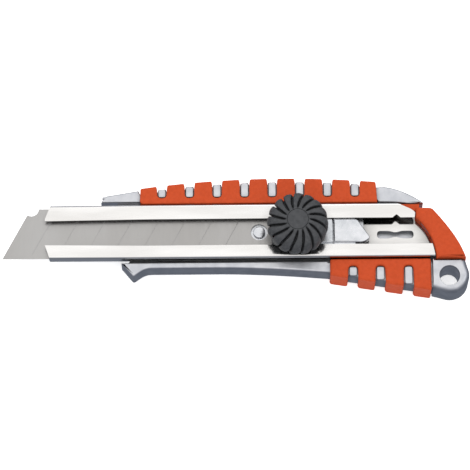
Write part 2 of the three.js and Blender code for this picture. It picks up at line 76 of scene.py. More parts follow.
VIEW_AIM = (86.3, -1.8, 13)  # what the camera looks at, in the knife's own axes
VIEW_ELEVATION = 72
VIEW_ROLL = 0.49
VIEW_DISTANCE = 1.1134
VIEW_WIDTH = 0.16151  # how much of the aiming plane the picture is wide
SENSOR = 36
# The colours of the studio from straight down (0) to straight up (1).
DOME = (
    (0.0, (0.2, 0.22, 0.26)),
    (0.4, (0.17, 0.185, 0.22)),
    (0.56, (0.24, 0.25, 0.28)),
    (0.76, (0.72, 0.73, 0.77)),
    (0.88, (1.26, 1.25, 1.235)),
)


def make_camera():
    """The camera, in front of the knife and tilted down at it."""
    data = bpy.data.cameras.new("camera")
    data.sensor_width = SENSOR
    data.lens = SENSOR * VIEW_DISTANCE / VIEW_WIDTH
    data.clip_start = 0.05
    data.clip_end = 20
    camera = bpy.data.objects.new("camera", data)
    bpy.context.scene.collection.objects.link(camera)
    tilt = math.radians(VIEW_ELEVATION)
    back = Vector((0, -math.cos(tilt), math.sin(tilt)))
    turn = (-back).to_track_quat("-Z", "Y")
    camera.rotation_mode = "QUATERNION"
    camera.rotation_quaternion = Quaternion(back, math.radians(-VIEW_ROLL)) @ turn
    camera.location = place(*VIEW_AIM) + back * VIEW_DISTANCE
    bpy.context.scene.camera = camera


def colour_ramp(tree, *stops):
    """A ramp node with (position, colour) stops."""
    ramp = tree.nodes.new("ShaderNodeValToRGB")
    elements = ramp.color_ramp.elements
    elements.remove(elements[-1])
    elements[0].position = stops[0][0]
    elements[0].color = (*stops[0][1], 1)
    for position, colour in stops[1:]:
        elements.new(position).color = (*colour, 1)
    return ramp


def make_world():
    """A soft studio: a bright dome overhead, greyer towards the horizon and a cool grey below."""
    world = bpy.data.worlds.new("studio")
    world.use_nodes = True
    tree = world.node_tree
    tree.nodes.clear()
    out = tree.nodes.new("ShaderNodeOutputWorld")
    background = tree.nodes.new("ShaderNodeBackground")
    coords = tree.nodes.new("ShaderNodeTexCoord")
    upward = tree.nodes.new("ShaderNodeVectorMath")
    upward.operation = "DOT_PRODUCT"
    upward.inputs[1].default_value = Vector((0, 0.12, 1)).normalized()
    height = tree.nodes.new("ShaderNodeMapRange")
    height.inputs["From Min"].default_value = -1
    ramp = colour_ramp(tree, *DOME)
    link = tree.links.new
    link(coords.outputs["Generated"], upward.inputs[0])
    link(upward.outputs["Value"], height.inputs["Value"])
    link(height.outputs["Result"], ramp.inputs["Fac"])
    link(ramp.outputs["Color"], background.inputs["Color"])
    link(background.outputs["Background"], out.inputs["Surface"])
    bpy.context.scene.world = world


def softbox(name, spot, size, watts, glossy=False):
    """A round lamp aimed at the knife; a glossy one is also seen in the metal."""
    data = bpy.data.lights.new(name, "AREA")
    data.shape = "DISK"
    data.size = size
    data.energy = watts
    lamp = bpy.data.objects.new(name, data)
    lamp.location = spot
    lamp.rotation_mode = "QUATERNION"
    lamp.rotation_quaternion = (-Vector(spot)).to_track_quat("-Z", "Y")
    lamp.visible_glossy = glossy
    bpy.context.scene.collection.objects.link(lamp)


def make_floor():
    """White paper under the knife."""
    mesh = bpy.data.meshes.new("floor")
    half = 3
    corners = [(-half, -half, 0), (half, -half, 0), (half, half, 0), (-half, half, 0)]
    mesh.from_pydata(corners, [], [(0, 1, 2, 3)])
    floor = bpy.data.objects.new("floor", mesh)
    bpy.context.scene.collection.objects.link(floor)
    floor.visible_glossy = False
    paper = bpy.data.materials.new("white_paper")
    paper.use_nodes = True
    shader = paper.node_tree.nodes["Principled BSDF"]
    shader.inputs["Base Color"].default_value = (0.95, 0.95, 0.95, 1)
    shader.inputs["Roughness"].default_value = 1
    shader.inputs["Specular IOR Level"].default_value = 0
    shader.inputs["Emission Color"].default_value = (1, 1, 1, 1)
    shader.inputs["Emission Strength"].default_value = 0.6
    mesh.materials.append(paper)


make_camera()
make_world()
make_floor()
softbox("overhead", (-0.25, 0.3, 0.9), 0.5, 2.5)
softbox("near_fill", (0.2, -0.9, 0.6), 0.6, 1.2)
softbox("left_strip", (-0.85, 0.1, 0.6), 0.35, 0.5, True)
softbox("right_strip", (0.85, 0.1, 0.6), 0.35, 0.5, True)
softbox("far_strip", (0.1, 0.85, 0.6), 0.35, 0.4, True)
bpy.context.scene.view_settings.view_transform = "Standard"


# ---------------------------------------------------------------- materials


def surface(name, colour, roughness, metallic=0.0, **sockets):
    """A Principled material whose sockets hold the constants, its tree and its shader."""
    made = bpy.data.materials.new(name)
    made.use_nodes = True
    tree = made.node_tree
    shader = tree.nodes["Principled BSDF"]
    shader.inputs["Base Color"].default_value = (*colour, 1)
    shader.inputs["Roughness"].default_value = roughness
    shader.inputs["Metallic"].default_value = metallic
    for socket, value in sockets.items():
        shader.inputs[socket.replace("_", " ")].default_value = value
    return made, tree, shader


def noise(tree, scale, detail=3.0, stretch=(1, 1, 1), distortion=0.0):
    """Noise in the object's own coordinates; scale is in cells per metre."""
    coords = tree.nodes.new("ShaderNodeTexCoord")
    mapping = tree.nodes.new("ShaderNodeMapping")
    mapping.inputs["Scale"].default_value = stretch
    texture = tree.nodes.new("ShaderNodeTexNoise")
    texture.inputs["Scale"].default_value = scale
    texture.inputs["Detail"].default_value = detail
    texture.inputs["Distortion"].default_value = distortion
    tree.links.new(coords.outputs["Object"], mapping.inputs["Vector"])
    tree.links.new(mapping.outputs["Vector"], texture.inputs["Vector"])
    return texture.outputs["Fac"]


def vary_colour(tree, shader, fac, dark, light, reach=0.0):
    """A base colour between two shades, with painted shade: darkened by ambient occlusion in gaps narrower
    than the reach in metres.
    """
    ramp = colour_ramp(tree, (0.35, dark), (0.65, light))
    tree.links.new(fac, ramp.inputs["Fac"])
    colour = ramp.outputs["Color"]
    if reach:
        # Painted shade: the ambient occlusion node darkens the base colour in recesses and between parts,
        # where shade falls.
        painted_recess_shade = tree.nodes.new("ShaderNodeAmbientOcclusion")
        painted_recess_shade.inputs["Distance"].default_value = reach
        tree.links.new(colour, painted_recess_shade.inputs["Color"])
        colour = painted_recess_shade.outputs["Color"]
    tree.links.new(colour, shader.inputs["Base Color"])


def vary_roughness(tree, shader, fac, low, high):
    spread = tree.nodes.new("ShaderNodeMapRange")
    spread.inputs["From Min"].default_value = 0.3
    spread.inputs["From Max"].default_value = 0.7
    spread.inputs["To Min"].default_value = low
    spread.inputs["To Max"].default_value = high
    tree.links.new(fac, spread.inputs["Value"])
    tree.links.new(spread.outputs["Result"], shader.inputs["Roughness"])


def bumps(tree, shader, *layers):
    """Stacked bump maps; each layer is (height, strength, distance in metres)."""
    normal = None
    for height, strength, distance in layers:
        bump = tree.nodes.new("ShaderNodeBump")
        bump.inputs["Strength"].default_value = strength
        bump.inputs["Distance"].default_value = distance
        tree.links.new(height, bump.inputs["Height"])
        if normal is not None:
            tree.links.new(normal, bump.inputs["Normal"])
        normal = bump.outputs["Normal"]
    tree.links.new(normal, shader.inputs["Normal"])


def cast_aluminium():
    made, tree, shader = surface("cast_aluminium", (0.6, 0.61, 0.64), 0.4, 1.0)
    # Painted shade: the last value makes the casting's colour darker in gaps and recesses narrower than
    # 0.0014 m.
    vary_colour(tree, shader, noise(tree, 260, 4), (0.49, 0.505, 0.54), (0.6, 0.61, 0.64), 0.0014)
    vary_roughness(tree, shader, noise(tree, 900, 4), 0.33, 0.46)
    bumps(tree, shader, (noise(tree, 2600, 3), 0.25, 0.00004), (noise(tree, 160, 2), 0.12, 0.0003))
    return made


def polished_stainless():
    made, tree, shader = surface("polished_stainless", (0.92, 0.91, 0.9), 0.12, 1.0)
    # Painted shade: the reach 0.0055 makes the steel's colour darker in the channel under the rails and in
    # other gaps.
    vary_colour(
        tree,
        shader,
        noise(tree, 30, 3, (1, 6, 6)),
        (0.69, 0.68, 0.668),
        (0.79, 0.783, 0.775),
        0.0055,
    )
    vary_roughness(tree, shader, noise(tree, 700, 4, (0.05, 1, 1)), 0.07, 0.17)
    bumps(
        tree,
        shader,
        (noise(tree, 2400, 3, (0.03, 1, 1)), 0.12, 0.00002),
        (noise(tree, 45, 2), 0.1, 0.0004),
    )
    return made


def blade_steel():
    made, tree, shader = surface("blade_steel", (0.45, 0.44, 0.43), 0.36, 1.0)
    vary_colour(tree, shader, noise(tree, 40, 3, (1, 0.6, 1)), (0.36, 0.352, 0.344), (0.405, 0.4, 0.395))
    vary_roughness(tree, shader, noise(tree, 2200, 4, (1, 0.08, 1)), 0.3, 0.42)
    bumps(tree, shader, (noise(tree, 5200, 3, (1, 0.05, 1)), 0.16, 0.00002))
    return made


def plated_steel():
    made, tree, shader = surface("plated_steel", (0.68, 0.7, 0.73), 0.3, 1.0)
    vary_colour(tree, shader, noise(tree, 320, 3), (0.54, 0.56, 0.59), (0.68, 0.69, 0.72))
    vary_roughness(tree, shader, noise(tree, 1200, 3), 0.24, 0.36)
    bumps(tree, shader, (noise(tree, 3000, 3), 0.2, 0.00003), (noise(tree, 240, 2), 0.25, 0.0002))
    return made


def plain_steel():
    made, tree, shader = surface("plain_steel", (0.42, 0.43, 0.45), 0.36, 1.0)
    vary_colour(tree, shader, noise(tree, 500, 3), (0.34, 0.35, 0.37), (0.5, 0.51, 0.53))
    vary_roughness(tree, shader, noise(tree, 1500, 3), 0.28, 0.45)
    bumps(tree, shader, (noise(tree, 3600, 3), 0.2, 0.00003))
    return made


def nut_brass():
    made, tree, shader = surface("nut_brass", (0.62, 0.46, 0.22), 0.3, 1.0)
    vary_colour(tree, shader, noise(tree, 500, 3), (0.52, 0.37, 0.16), (0.7, 0.53, 0.27))
    vary_roughness(tree, shader, noise(tree, 1500, 3), 0.22, 0.4)
    bumps(tree, shader, (noise(tree, 3600, 3), 0.2, 0.00003))
    return made


def orange_rubber():
    made, tree, shader = surface("orange_rubber", (0.55, 0.078, 0.03), 0.62, Specular_IOR_Level=0.15)
    vary_colour(tree, shader, noise(tree, 900, 5), (0.45, 0.058, 0.015), (0.5, 0.066, 0.018))
    vary_roughness(tree, shader, noise(tree, 600, 3), 0.55, 0.72)
    bumps(tree, shader, (noise(tree, 5200, 3), 0.35, 0.00005), (noise(tree, 320, 2), 0.2, 0.0002))
    return made


def red_plastic():
    made, tree, shader = surface("red_plastic", (0.32, 0.03, 0.012), 0.5, Specular_IOR_Level=0.4)
    vary_colour(tree, shader, noise(tree, 700, 4), (0.28, 0.025, 0.01), (0.38, 0.038, 0.016))
    vary_roughness(tree, shader, noise(tree, 900, 3), 0.42, 0.58)
    bumps(tree, shader, (noise(tree, 4200, 3), 0.25, 0.00004))
    return made


def black_plastic():
    made, tree, shader = surface("black_plastic", (0.06, 0.062, 0.067), 0.56, Specular_IOR_Level=0.4)
    # Painted shade: the last value makes the plastic's colour darker in slits and seams narrower than 0.0012
    # m.
    vary_colour(tree, shader, noise(tree, 800, 4), (0.034, 0.036, 0.039), (0.05, 0.052, 0.056), 0.0012)
    vary_roughness(tree, shader, noise(tree, 1500, 3), 0.48, 0.64)
    bumps(tree, shader, (noise(tree, 6500, 2), 0.45, 0.00004))
    return made


MAKERS = (
    cast_aluminium,
    polished_stainless,
    blade_steel,
    plated_steel,
    plain_steel,
    nut_brass,
    orange_rubber,
    red_plastic,
    black_plastic,
)
MATERIALS = {maker.__name__: maker() for maker in MAKERS}
SLOT_OF = {row["node"]: row["material_slot"] for row in frame["record"]["subparts"]}


# ---------------------------------------------------------------- shapes


def bend(start, pull, end, steps):
    """Points of a curve from start to end that leans towards pull, both ends included."""
    points = []
    for i in range(steps + 1):
        t = i / steps
        a, b, c = (1 - t) ** 2, 2 * t * (1 - t), t * t
        points.append(tuple(a * s + b * p + c * e for s, p, e in zip(start, pull, end)))
    return points


def arc(x, y, radius, first, last, steps):
    """Points of an arc, its angles in degrees, both ends included."""
    points = []
    for i in range(steps + 1):
        angle = math.radians(first + (last - first) * i / steps)
        points.append((x + radius * math.cos(angle), y + radius * math.sin(angle)))
    return points


def rounded(corners, steps=6):
    """A closed outline through (x, y) or (x, y, radius) corners."""
    points = []
    for i, corner in enumerate(corners):
        x, y = corner[:2]
        radius = corner[2] if len(corner) > 2 else 0
        if radius == 0:
            points.append((x, y))
            continue
        here = Vector((x, y))
        before = Vector(corners[i - 1][:2]) - here
        after = Vector(corners[(i + 1) % len(corners)][:2]) - here
        start = here + before.normalized() * radius
        end = here + after.normalized() * radius
        points += bend(tuple(start), (x, y), tuple(end), steps)
    return points


def inset(loop, distance, weight):
    """The loop with every side moved to its left by distance times the side's weight."""
    sides = []
    for i, (x, y) in enumerate(loop):
        x1, y1 = loop[(i + 1) % len(loop)]
        along = Vector((x1 - x, y1 - y)).normalized()
        share = weight((x + x1) / 2, (y + y1) / 2) if weight else 1
        sides.append((Vector((-along.y, along.x)), distance * share))
    moved = []
    for i, (x, y) in enumerate(loop):
        (n0, d0), (n1, d1) = sides[i - 1], sides[i]
        turn = n0.x * n1.y - n0.y * n1.x
        if abs(turn) < 0.12:
            both = (n0 + n1).normalized() * ((d0 + d1) / 2)
            moved.append((x + both.x, y + both.y))
        else:
            moved.append((x + (d0 * n1.y - d1 * n0.y) / turn, y + (d1 * n0.x - d0 * n1.x) / turn))
    return moved


def slab(loops, low, high, top=0.0, bottom=0.0, steps=4, weight=None):
    """A plate between two heights with rounded edges. The first loop runs anticlockwise, holes clockwise."""
    rings = []
    for i in range(steps + 1 if bottom else 1):
        angle = math.pi / 2 * (i / steps if bottom else 1)
        rings.append((bottom * (1 - math.sin(angle)), low + bottom * (1 - math.cos(angle))))
    for i in range(steps + 1 if top else 1):
        angle = math.pi / 2 * (i / steps if top else 0)
        rings.append((top * (1 - math.cos(angle)), high - top * (1 - math.sin(angle))))
    mesh = bmesh.new()
    first_ring, last_ring = [], []
    for loop in loops:
        rows = []
        for distance, z in rings:
            points = inset(loop, distance, weight) if distance > 1e-9 else loop
            rows.append([mesh.verts.new((x, y, z)) for x, y in points])
        for lower, upper in zip(rows, rows[1:]):
            for i in range(len(loop)):
                j = (i + 1) % len(loop)
                mesh.faces.new((lower[i], lower[j], upper[j], upper[i]))
        first_ring.append(rows[0])
        last_ring.append(rows[-1])
    for ring in (first_ring, last_ring):
        flat = [vert for row in ring for vert in row]
        for triangle in tessellate_polygon([[vert.co for vert in row] for row in ring]):
            mesh.faces.new([flat[i] for i in triangle])
    bmesh.ops.recalc_face_normals(mesh, faces=mesh.faces)
    return mesh


def turned(x, y, profile, segments=64):
    """A body of revolution from its (radius, z) profile, which starts and ends on the axis or closes."""
    mesh = bmesh.new()
    columns = []
    poles = {i: mesh.verts.new((x, y, z)) for i, (radius, z) in enumerate(profile) if radius == 0}
    for k in range(segments):
        angle = 2 * math.pi * k / segments
        row = []
        for i, (radius, z) in enumerate(profile):
            spot = (x + radius * math.cos(angle), y + radius * math.sin(angle), z)
            row.append(poles[i] if i in poles else mesh.verts.new(spot))
        columns.append(row)
    closed = profile[0][0] != 0
    for k in range(segments):
        here, there = columns[k], columns[(k + 1) % segments]
        for i in range(len(profile) if closed else len(profile) - 1):
            j = (i + 1) % len(profile)
            corners = []
            for vert in (here[i], there[i], there[j], here[j]):
                if vert not in corners:
                    corners.append(vert)
            mesh.faces.new(corners)
    bmesh.ops.recalc_face_normals(mesh, faces=mesh.faces)
    return mesh


def circle_hole(x, y, radius):
    """The outline of a round hole, clockwise."""
    steps = 48
    return list(reversed(arc(x, y, radius, 0, 360 - 360 / steps, steps - 1)))


def full_width(x, y):
    return 1.0


def along_x(section, stations, narrow=full_width):
    """A bar along x with a closed (y, z) section, made narrower in y where narrow says."""
    mesh = bmesh.new()
    rows = [[mesh.verts.new((x, y * narrow(x, y), z)) for y, z in section] for x in stations]
    for here, there in zip(rows, rows[1:]):
        for i in range(len(section)):
            j = (i + 1) % len(section)
            mesh.faces.new((here[i], here[j], there[j], there[i]))
    for row in (rows[0], rows[-1]):
        for triangle in tessellate_polygon([[Vector((vert.co.y, vert.co.z, 0)) for vert in row]]):
            mesh.faces.new([row[i] for i in triangle])
    bmesh.ops.recalc_face_normals(mesh, faces=mesh.faces)
    return mesh


def gathered(shapes):
    """One mesh of several separate shapes."""
    whole = bmesh.new()
    for shape in shapes:
        part = bpy.data.meshes.new("part")
        shape.to_mesh(part)
        shape.free()
        whole.from_mesh(part)
        bpy.data.meshes.remove(part)
    return whole


def as_object(name, shape):
    """The shape, drawn in the knife's own axes and units, as an object of the frame."""
    for vert in shape.verts:
        vert.co = place(*vert.co)
    mesh = bpy.data.meshes.new(name)
    shape.to_mesh(mesh)
    shape.free()
    made = bpy.data.objects.new(name, mesh)
    bpy.context.scene.collection.objects.link(made)
    return made


def settle(piece):
    """Applies the piece's modifiers to its mesh."""
    bpy.context.view_layer.update()
    made = bpy.data.meshes.new_from_object(piece.evaluated_get(bpy.context.evaluated_depsgraph_get()))
    piece.modifiers.clear()
    piece.data = made


def combine(piece, operation, *shapes):
    """Joins or cuts the piece with closed shapes."""
    tools = []
    for i, shape in enumerate(shapes):
        tool = as_object(f"{piece.name}_tool{i}", shape)
        boolean = piece.modifiers.new(f"tool{i}", "BOOLEAN")
        boolean.operation = operation
        boolean.solver = "EXACT"
        boolean.object = tool
        tools.append(tool)
    settle(piece)
    for tool in tools:
        bpy.data.objects.remove(tool)


def soften(piece, width, segments=2, angle=40):
    """Rounds the piece's sharp edges by a width in units of the drawing."""
    bevel = piece.modifiers.new("edges", "BEVEL")
    bevel.width = width * UNIT
    bevel.segments = segments
    bevel.limit_method = "ANGLE"
    bevel.angle_limit = math.radians(angle)
    settle(piece)


def dress(piece, node, body, sharp=32):
    """Smooth shading, the node's material and slot, and its place on the body."""
    mesh = piece.data
    for polygon in mesh.polygons:
        polygon.use_smooth = True
    mesh.set_sharp_from_angle(angle=math.radians(sharp))
    weigh = piece.modifiers.new("weighted_normals", "WEIGHTED_NORMAL")
    weigh.keep_sharp = True
    weigh.weight = 100
    mesh.materials.clear()
    mesh.materials.append(MATERIALS[SLOT_OF[node]])
    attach(piece, body)
    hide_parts(node)


# ---------------------------------------------------------------- the casting and its grips

GAP = 0.3  # between a piece and what it holds
CUT = 1  # how far a cutting shape runs past a face
FRAME_BACK, FRAME_FACE = 1.6, 10.2
WEB_BACK, WEB_FACE = 5.2, 7.7
SPINE_INNER, BAR_INNER = 12.25, -11.35  # y of the bars' edges beside the sheath
SHEATH_RIVETS = (56, 118)
RIVET_HOLE = 2.1  # radius
WAIST_X, WAIST_Y = 145.9, -0.7  # middle of the waisted slot
CREST_X, CREST_Y, BOW = 103.5, 20.8, 770  # top of the upper grip's bow, and twice its radius
KEEL_X, KEEL_Y, KEEL_SLOPE = 124.7, -17.75, 0.1585  # a point of the lower grip's outline, and its slope
SKIN = 0.95  # rubber outside the casting
GRIP_START, GRIP_END = 51.0, 138.5
SLOTS = [59.2 + 10.27 * i for i in range(8)]
SLOT_FLOOR = 13.45
SLOT_ROUND = 1.62  # radius of a slot's closed end
LOWER_START, LOWER_END = 121.4, 158.75
LOWER_SLOTS = [129.9, 140.0, 150.4]
LOWER_SLOT_TOP = -13.45
LUG_X, LUG_Y, LUG_HOLE = 165.5, -17.55, 3.6  # middle and radius of the lanyard hole
LUG_LEFT, LUG_TOP = 159.25, -11.55
UPPER_INNER, LOWER_INNER = 11.1, -10.85  # y of the grips' edges beside the sheath
PAD_BACK, PAD_FACE = 9, 10.85  # heights of the raised pads in the slots


def crest(x):
    """y of the upper grip's outline."""
    return CREST_Y - (x - CREST_X) ** 2 / BOW


def keel(x):
    """y of the lower grip's outline."""
    return KEEL_Y - (x - KEEL_X) * KEEL_SLOPE


def spine_outline():
    """The casting's upper bar, with a tooth that fills each slot of the grip."""
    nose_x = 36.5
    root = SKIN + 0.9
    points = [(nose_x, SPINE_INNER), (139.4, SPINE_INNER), (139.7, 11.65), (146, 11.45)]
    points += [(150.7, 10.95), (156.45, 10.95)]
    points += bend((156.3, 11.5), (148.6, 16.9), (141.7, 17.65), 16)
    corners = [(GRIP_END + 1, 17.5)]
    corners.append((GRIP_END, crest(GRIP_END) - root))
    for x in reversed(SLOTS):
        corners.append((x + 1.62, crest(x + 1.6) - root))
        corners.append((x + 1.55, crest(x + 1.5) - SKIN, 0.7))
        corners.append((x - 1.55, crest(x - 1.5) - SKIN, 0.7))
        corners.append((x - 1.62, crest(x - 1.6) - root))
    corners.append((GRIP_START, crest(GRIP_START) - root))
    corners += [(GRIP_START - 0.3, 16.2), (50.4, 16.8), (38.2, 14.75, 0.7), (nose_x, 13.9, 0.9)]
    return points + rounded(corners)


def slot_pad(x, low, high):
    """The outline of the casting's raised pad in a slot of a grip."""
    half, corner = 1.5, 0.8
    sides = ((x - half, low), (x + half, low), (x + half, high), (x - half, high))
    return rounded([(*spot, corner) for spot in sides])


def bar_rounding(x, y):
    """Share of the lower bar's rounding: half of it beside the sheath."""
    return 0.5 if y > BAR_INNER - 0.55 else 1.0


def lug_rounding(x, y):
    """Share of the lug's rounding: most of it on the outer rim, little elsewhere."""
    at_hole = math.hypot(x - LUG_X, y - LUG_Y) < LUG_HOLE + 0.5
    at_grip = x < LUG_LEFT + 0.75
    at_cap = y > LUG_TOP - 0.45
    return 0.1 if at_hole or at_grip or at_cap else 0.9


def waisted(grown):
    """The waisted slot in the sheath's floor, or the larger recess behind it."""
    x, y = WAIST_X, WAIST_Y
    end, corner, wide, narrow = 6.8 + grown, 2.4, 1.5 + grown, 0.8 + grown
    upper = [(x + end, y + wide, 1.4), (x + corner, y + wide, 1), (x, y + narrow, 1)]
    upper += [(x - corner, y + wide, 1), (x - end, y + wide, 1.4)]
    lower = [(2 * x - px, 2 * y - py, radius) for px, py, radius in upper]
    return rounded(upper + lower)


def bar_outline():
    """The casting's lower bar, from the finger beak to the lug."""
    inside = BAR_INNER - 0.45  # y of the edge behind the lower grip
    cover = 1.2  # rubber outside the bar
    step = LOWER_START - 0.6
    return rounded(
        [
            (44, BAR_INNER, 0.3),
            (48.5, -16.9, 0.9),
            (53, -13.65, 2.4),
            (86, -13.65, 8),
            (104, -14.45, 8),
            (LOWER_START - 0.7, -15.8),
            (LOWER_START + 2, keel(LOWER_START + 2) + cover),
            (160, keel(160) + cover),
            (160, inside),
            (step, inside),
            (step, BAR_INNER),
        ]
    )


def web_outline():
    """The flat web behind the sheath."""
    return rounded(
        [
            (42, 12.75),
            (54, 0, 9),
            (46, -11.85),
            (159.5, -12),
            (159.9, -9),
            (156.2, -0.5),
            (152.4, 5),
            (150, SPINE_INNER),
        ]
    )


def lug_outline():
    """The lanyard lug, with its round end."""
    foot = [(LUG_LEFT, LUG_TOP), (LUG_LEFT, -22.35)]
    end = arc(165.9, LUG_Y + 0.6, 6.99, -104.4, 21.6, 32)
    return [*foot, *end, (171.6, LUG_TOP)]


def frame_casting():
    """The casting: spine, lower bar, web and lug in one, with the pads in the grips' slots."""
    _, _, _, _, _, lug_face = span("frame_casting")
    piece = as_object("frame_casting_shape", slab([spine_outline()], FRAME_BACK, FRAME_FACE, 0.6, 0.5))
    lug = [lug_outline(), circle_hole(LUG_X, LUG_Y, LUG_HOLE)]
    combine(
        piece,
        "UNION",
        slab([bar_outline()], FRAME_BACK, FRAME_FACE, 0.85, 0.6, 6, bar_rounding),
        slab([web_outline()], WEB_BACK, WEB_FACE),
        slab(lug, 0, lug_face, 2.6, 0.4, 9, lug_rounding),
    )
    bore = [(0, 4), (RIVET_HOLE, 4), (RIVET_HOLE, 9), (0, 9)]
    cutters = [turned(x, 0, bore, 32) for x in SHEATH_RIVETS]
    recess = slab([waisted(0.5)], WEB_BACK + 0.5, 9)
    combine(piece, "DIFFERENCE", *cutters, recess)
    dress(piece, "frame_casting", "handle")
    pads = [slot_pad(x, SLOT_FLOOR + 0.35, crest(x) - 1.25) for x in SLOTS]
    pads += [slot_pad(x, keel(x) + 1.3, LOWER_SLOT_TOP - 0.35) for x in LOWER_SLOTS]
    raised = gathered([slab([pad], PAD_BACK, PAD_FACE, 0.4) for pad in pads])
    dress(as_object("frame_casting_pads", raised), "frame_casting", "handle")


def upper_grip():
    """The rubber over the spine: nine blocks with slots between them, hollow for the spine and the web."""
    _, _, _, _, low, high = span("upper_grip")
    corners = [
        (GRIP_START + 0.9, UPPER_INNER, 0.4),
        (GRIP_END + 0.9, UPPER_INNER, 0.5),
        (GRIP_END + 0.4, crest(GRIP_END), 0.8),
    ]
    for x in reversed(SLOTS):
        corners += [
            (x + 2.0, crest(x + 2.0), 0.6),
            (x + 1.76, crest(x) - 1.7, 0.7),
            (x + 1.72, SLOT_FLOOR, SLOT_ROUND),
            (x - 1.72, SLOT_FLOOR, SLOT_ROUND),
            (x - 1.76, crest(x) - 1.7, 0.7),
            (x - 2.0, crest(x - 2.0), 0.6),
        ]
    corners += [(GRIP_START + 0.2, crest(GRIP_START), 0.6), (GRIP_START, UPPER_INNER + 0.8, 0.6)]
    piece = as_object("upper_grip_rubber", slab([rounded(corners)], low, high, 0.5, 0.42, 5))
    start, end, inner = GRIP_START - 1, GRIP_END + 2, SPINE_INNER - GAP
    room = [(start, inner), (end, inner)]
    steps = 40
    for i in range(steps + 1):
        x = end - (end - start) * i / steps
        room.append((x, crest(x) - SKIN + GAP))
    below = [(start, 9), (end, 9), (end, inner), (start, inner)]
    combine(
        piece,
        "DIFFERENCE",
        slab([room], FRAME_BACK - GAP, FRAME_FACE + GAP),
        slab([below], -CUT, WEB_FACE + GAP),
    )
    dress(piece, "upper_grip", "handle")


def lower_grip():
    """The rubber over the lower bar: four blocks with slots between them, hollow for the bar and the web."""
    _, _, _, _, low, high = span("lower_grip")
    corners = [(LOWER_START, LOWER_INNER, 0.9), (LOWER_START, keel(LOWER_START), 0.95)]
    for x in LOWER_SLOTS:
        corners += [
            (x - 1.9, keel(x - 1.9), 0.95),
            (x - 1.7, LOWER_SLOT_TOP, SLOT_ROUND),
            (x + 1.7, LOWER_SLOT_TOP, SLOT_ROUND),
            (x + 1.9, keel(x + 1.9), 0.95),
        ]
    corners += [(LOWER_END, keel(LOWER_END), 0.95), (LOWER_END, LOWER_INNER, 0.9)]
    piece = as_object("lower_grip_rubber", slab([rounded(corners)], low, high, 0.85, 0.42, 6))
    start, end, inner, skin = LOWER_START - 2, LOWER_END + 2, -11.5, 0.9
    room = [(start, inner), (start, keel(start) + skin), (end, keel(end) + skin), (end, inner)]
    start, end = LOWER_START - 1, LOWER_END + 1
    below = [(start, inner), (end, inner), (end, -9), (start, -9)]
    combine(
        piece,
        "DIFFERENCE",
        slab([room], FRAME_BACK - GAP, FRAME_FACE + GAP),
        slab([below], -CUT, WEB_FACE + GAP),
    )
    dress(piece, "lower_grip", "handle")


# ---------------------------------------------------------------- the sheath

WALL = 0.5
SHEATH_TAIL = 162
PINCH, LIP_PINCH = 0.015, 0.09  # shares by which the mouth and its slot are narrower
PINCH_LENGTH = 38
BEND = 1.3  # outer radius of the folds
SLOT_HIGH, SLOT_LOW = 4.6, -5.6
LIP_REACH = 7  # half width of what narrows with the slot at the mouth
CAP_LOW, CAP_HIGH = -11.05, 8.45  # y of the end cap's ends
CAP_BACK = 0.8  # z of its back


def cap_inner():
    """The side of the end cap that faces the sheath, from its foot to its head."""
    return bend((160.8, CAP_LOW), (159.5, -0.7), (153.4, 4.65), 20)


def sheath_section(half, low, high):
    """The folded channel's (y, z) section: two rails over a floor."""
    inner_low, inner_high, inner_half = low + WALL, high - WALL, half - WALL
    lip, inner_bend = 0.12, BEND - WALL
    corners = [
        (SLOT_HIGH, high, lip),
        (SLOT_HIGH, inner_high, lip),
        (inner_half, inner_high, inner_bend),
        (inner_half, inner_low, inner_bend),
        (-inner_half, inner_low, inner_bend),
        (-inner_half, inner_high, inner_bend),
        (SLOT_LOW, inner_high, lip),
        (SLOT_LOW, high, lip),
        (-half, high, BEND),
        (-half, low, BEND),
        (half, low, BEND),
        (half, high, BEND),
    ]
    return rounded(corners, 5)


def sheath_cutters(half, low, high):
    """What is cut out of the channel: tail, mouth, notch, waisted slot and rivet holes."""
    behind = [(x - 0.35, y) for x, y in reversed(cap_inner())]
    shoulder = [(146, half, 1.5), (152, 7.7, 1), (153.2, 6.6, 0.6)]
    tail = rounded([*shoulder, *behind, (163, -12), (163, 13), (146, 13)])
    mouth_top = rounded([(10, 3.6), (15.5, 4.2, 0.8), (17.9, half), (17.9, 12), (10, 12)])
    mouth_low = rounded([(10, -4.5), (10, -12), (17.9, -12), (17.6, -10.2), (15.8, -4.9, 0.8)])
    notch = rounded(
        [
            (144.6, SLOT_HIGH - 0.5),
            (148, SLOT_HIGH - 0.5),
            (147.8, SLOT_HIGH, 0.2),
            (146.3, SLOT_HIGH + 1.3, 0.4),
            (144.8, SLOT_HIGH, 0.2),
        ]
    )
    floor_front = [(10, -5.2), (17.2, -5.2), (17.2, 4.3), (10, 4.3)]
    under, inside, head = 7, 9.2, 2.95  # z, z and radius
    sink = [(0, under), (RIVET_HOLE, under), (RIVET_HOLE, low)]
    sink += [(head, low + WALL), (head, inside), (0, inside)]
    cutters = [slab([cut], low - CUT, high + CUT) for cut in (tail, mouth_top, mouth_low)]
    cutters.append(slab([floor_front], low - CUT, low + 2))
    cutters.append(slab([notch], high - CUT, high + CUT))
    cutters.append(slab([waisted(0)], low - CUT, low + CUT))
    cutters += [turned(x, 0, sink, 32) for x in SHEATH_RIVETS]
    return cutters


def blade_sheath():
    """The folded stainless channel that the slider runs in."""
    start, _, _, half, low, high = span("blade_sheath")

    def narrow(x, y):
        share = LIP_PINCH if abs(y) < LIP_REACH else PINCH
        return 1 - share * max(0.0, 1 - (x - start) / PINCH_LENGTH)

    steps = 40
    stations = [start + (SHEATH_TAIL - start) * i / steps for i in range(steps + 1)]
    piece = as_object("blade_sheath_channel", along_x(sheath_section(half, low, high), stations, narrow))
    combine(piece, "DIFFERENCE", *sheath_cutters(half, low, high))
    soften(piece, 0.1, 2)
    dress(piece, "blade_sheath", "handle")


# ---------------------------------------------------------------- the blade and the slider

